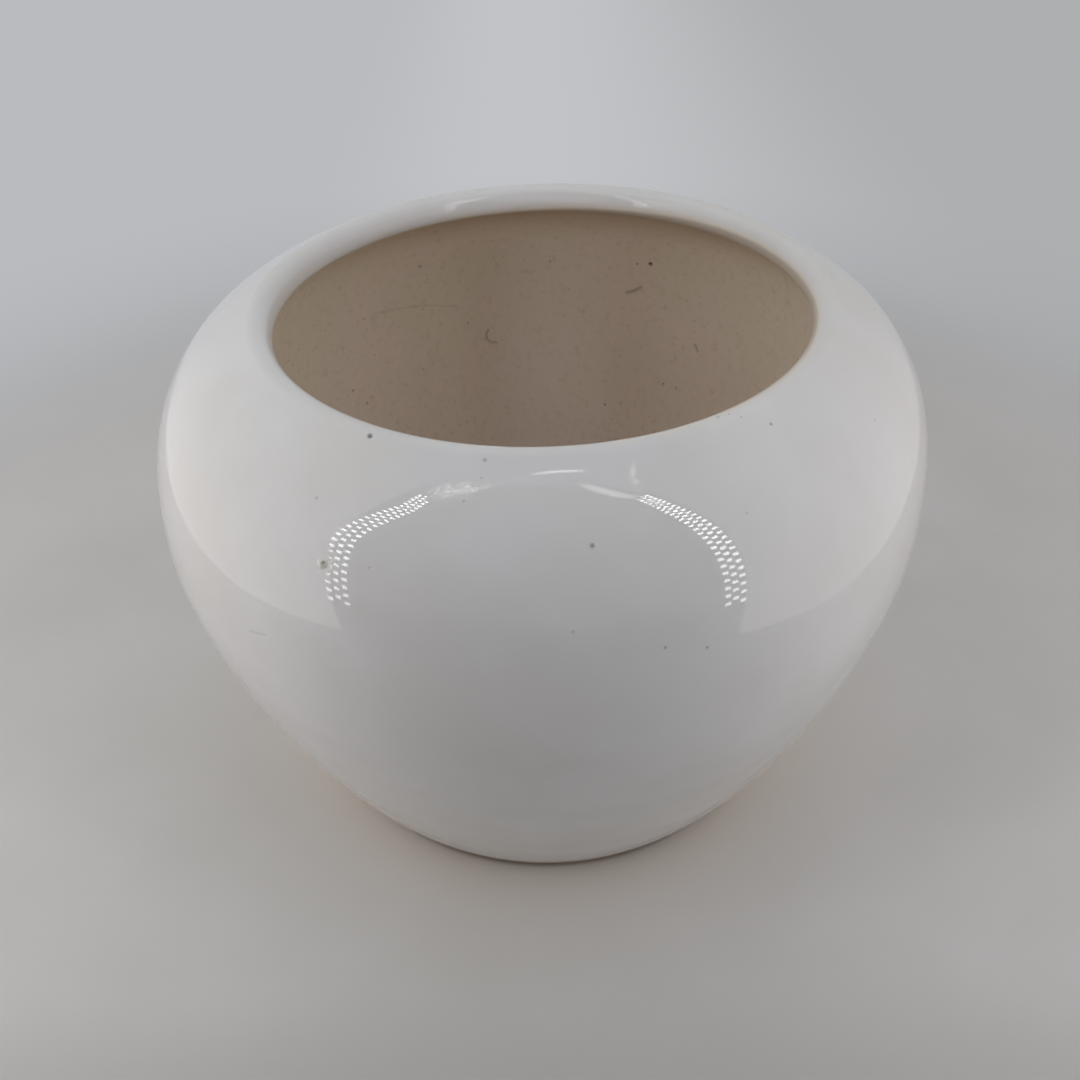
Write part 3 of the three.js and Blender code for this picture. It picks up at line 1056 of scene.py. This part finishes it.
# Fainter, softer lights that the glaze mirrors: light spilt beside the strips, a seam overhead, and two
# strokes and a sheen close to the far lip. Each has the pixels that it runs through, with its width there in
# pixels, its distance from the glaze, its strength and its lumps' size, both lengths in millimetres.
GLINTS = {
    "left_patch": (((426, 494, 18), (450, 490, 21), (476, 487, 15), (500, 481, 6)), 400, 7.0, 5),
    "right_tail": (((641, 497, 5), (618, 495, 8), (596, 489, 9), (574, 483, 6)), 400, 4.0, 0),
    "right_wisp": (((639, 494, 8), (634, 478, 14), (632, 460, 9)), 400, 4.0, 16),
    "top_seam": (((529, 474.5, 3), (560, 471.5, 3.4), (590, 470.5, 3)), 300, 7.5, 0),
    "far_lip_left": (((438, 208.5, 2), (465, 201.5, 3), (492, 196.5, 2)), 20, 4.0, 0),
    "far_lip_right": (((638, 200, 2), (657, 203.5, 2.6), (676, 208.5, 2)), 20, 3.6, 0),
    "far_lip_sheen": (((470, 202, 6), (540, 198, 9), (630, 202, 6)), 21, 1.2, 0),
}
# A glint's parts each way, how sharply its ends fade, and how its lumps stand out.
GLINT_STEPS = 8
GLINT_END_POWER = 0.5
LUMP_RANGE = (0.36, 0.68)
# The share of a path on either side of a point that gives its way there.
PATH_STEP = 0.02


def mirrored_point(glaze, tree, pixel, distance):
    """The point, at a distance from the glaze, that it mirrors at a pixel of the photograph."""
    way = pixel_ray(pixel)
    place, _, index, _ = tree.ray_cast(CAMERA_PLACE, way)
    corners = [glaze.data.vertices[i] for i in glaze.data.polygons[index].vertices]
    weights = poly_3d_calc([corner.co for corner in corners], place)
    facing = sum((corner.normal * weight for corner, weight in zip(corners, weights)), Vector())
    return place + way.reflect(facing.normalized()) * distance


def towards_pot(ends):
    """The way from the middle of a strip to the pot, square to the strip."""
    low, high = ends
    along = (high - low).normalized()
    way = STRIP_TARGET - (low + high) / 2
    return (way - way.dot(along) * along).normalized()


def add_reflected(name, quads, strength, lumps=0):
    """Lights that show only in reflections: quads of (place, glow) corners, patchy if they have lumps."""
    bm = bmesh.new()
    glow = bm.verts.layers.float_color.new("glow")
    for corners in quads:
        face = bm.faces.new([bm.verts.new(place) for place, _ in corners])
        for vert, (_, level) in zip(face.verts, corners):
            vert[glow] = (level, level, level, 1)
    mesh = bpy.data.meshes.new(name)
    bm.to_mesh(mesh)
    bm.free()
    material, tree, light = emitter(name)
    level = attribute(tree, "glow")
    if lumps:
        place = add_node(tree, "TexCoord").outputs["Object"]
        level = math_node(tree, "MULTIPLY", level, ramp(tree, noise_at(tree, place, lumps), *LUMP_RANGE))
    tree.links.new(math_node(tree, "MULTIPLY", level, strength), light.inputs["Strength"])
    mesh.materials.append(material)
    piece = add_object(name, mesh)
    piece.visible_camera = False
    piece.visible_diffuse = False
    piece.visible_shadow = False


def mirrored_on_path(mirror, path, share, aside, distance):
    """What the glaze mirrors at a share of a path of pixels, moved aside by a share of its width."""
    values = np.array(path)
    lengths = np.concatenate([[0], np.cumsum(np.hypot(*np.diff(values[:, :2], axis=0).T))])

    def at(part):
        return np.array([np.interp(part * lengths[-1], lengths, column) for column in values.T])

    x, y, width = at(share)
    across, along = (at(share + PATH_STEP) - at(share - PATH_STEP))[:2]
    shift = aside * width / math.hypot(across, along)
    return mirrored_point(*mirror, (x + shift * along, y - shift * across), distance)


def along_path(path, share):
    """The point at a share of a path of straight stretches, and the way that the path runs there."""
    lengths = [(end - start).length for start, end in zip(path, path[1:])]
    left = share * sum(lengths)
    for start, end, length in zip(path, path[1:], lengths):
        if left <= length:
            break
        left -= length
    return start.lerp(end, left / length), (end - start).normalized()


def add_lamp_dots(side, path):
    """The lamps of one strip, a little wider apart at its foot and stronger at its top."""
    first, last = LAMP_STRENGTHS
    foot_spread, top_spread = LAMP_SPREADS[side]
    half = LAMP_SIZE / 2
    across = (path[-1] - path[0]).normalized().cross(towards_pot((path[0], path[-1])))
    quads = []
    for row in range(LAMP_ROWS):
        for column in range(LAMPS_ABREAST):
            share = (row + 0.5 * (column % 2)) / LAMP_ROWS
            gap = LAMP_GAP * (foot_spread + (top_spread - foot_spread) * share)
            shift = (column - (LAMPS_ABREAST - 1) / 2) * gap
            middle, along = along_path(path, share)
            centre = middle + across * shift
            glow = 1 + (last / first - 1) * share
            corners = ((1, 1), (-1, 1), (-1, -1), (1, -1))
            quads.append([(centre + across * half * u + along * half * v, glow) for u, v in corners])
    add_reflected(side + "_lamps", quads, first)


def add_glint(mirror, name, path, distance, strength, lumps):
    """A soft patch of light, brightest along its middle."""

    def corner(row, column):
        u = column / GLINT_STEPS - 0.5
        v = row / GLINT_STEPS
        glow = math.cos(u * math.pi) * math.sin(v * math.pi) ** GLINT_END_POWER
        return mirrored_on_path(mirror, path, v, u, distance), glow

    quads = []
    for row in range(GLINT_STEPS):
        for column in range(GLINT_STEPS):
            places = ((row, column), (row, column + 1), (row + 1, column + 1), (row + 1, column))
            quads.append([corner(*place) for place in places])
    add_reflected(name, quads, strength, lumps)


def add_lamps(glaze):
    """The two strips, their soft light, and the glints, all placed by what the glaze mirrors."""
    mirror = (glaze, BVHTree.FromObject(glaze, bpy.context.evaluated_depsgraph_get()))
    for side, places in LAMP_STRIPS.items():
        path = [mirrored_point(*mirror, (x, y), distance * MM) for x, y, distance in places]
        add_lamp_dots(side, path)
        power, colour = STRIP_LIGHTS[side]
        add_strip_lamp(side + "_strip_light", (path[0], path[-1]), power, colour)
    for name, (path, distance, strength, lumps) in GLINTS.items():
        add_glint(mirror, name, path, distance * MM, strength, lumps * MM)


# Light from beyond the tent, low and high, and the plain background that the camera sees.
ROOM_LOW = (0.31, 0.29, 0.32)
ROOM_HIGH = (0.02, 0.03, 0.01)
ROOM_RANGE = (-0.3, 0.9)
BACKGROUND = linear(184, 184, 186)


def set_world():
    """Faint light from beyond the tent, with a plain pale background for the camera."""
    world = bpy.data.worlds.new("studio")
    bpy.context.scene.world = world
    tree = cleared_nodes(world)
    place = add_node(tree, "TexCoord").outputs["Generated"]
    height = add_node(tree, "SeparateXYZ", {0: place}).outputs["Z"]
    room = mix_colour(tree, ramp(tree, height, *ROOM_RANGE), (*ROOM_LOW, 1), (*ROOM_HIGH, 1))
    light = add_node(tree, "Background", {"Color": room})
    seen = add_node(tree, "Background", {"Color": BACKGROUND})
    is_seen = add_node(tree, "LightPath").outputs["Is Camera Ray"]
    both = add_node(tree, "MixShader", {0: is_seen, 1: light.outputs[0], 2: seen.outputs[0]})
    output = add_node(tree, "OutputWorld")
    tree.links.new(both.outputs[0], output.inputs[0])


def main():
    """Builds the pieces, ties them to the frame and sets up the studio."""
    add_camera()
    bpy.context.scene.view_settings.view_transform = "Standard"
    glaze = build_glaze()
    clay = build_clay()
    for piece, node, slot in ((glaze, "glaze_coat", "white_glaze"), (clay, "clay_body", "bare_clay")):
        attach(piece, "root")
        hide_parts(node)
    add_floor()
    add_lamps(glaze)
    for name, glows in TENT_SIDES.items():
        add_tent_side(name, glows)
    set_world()


main()
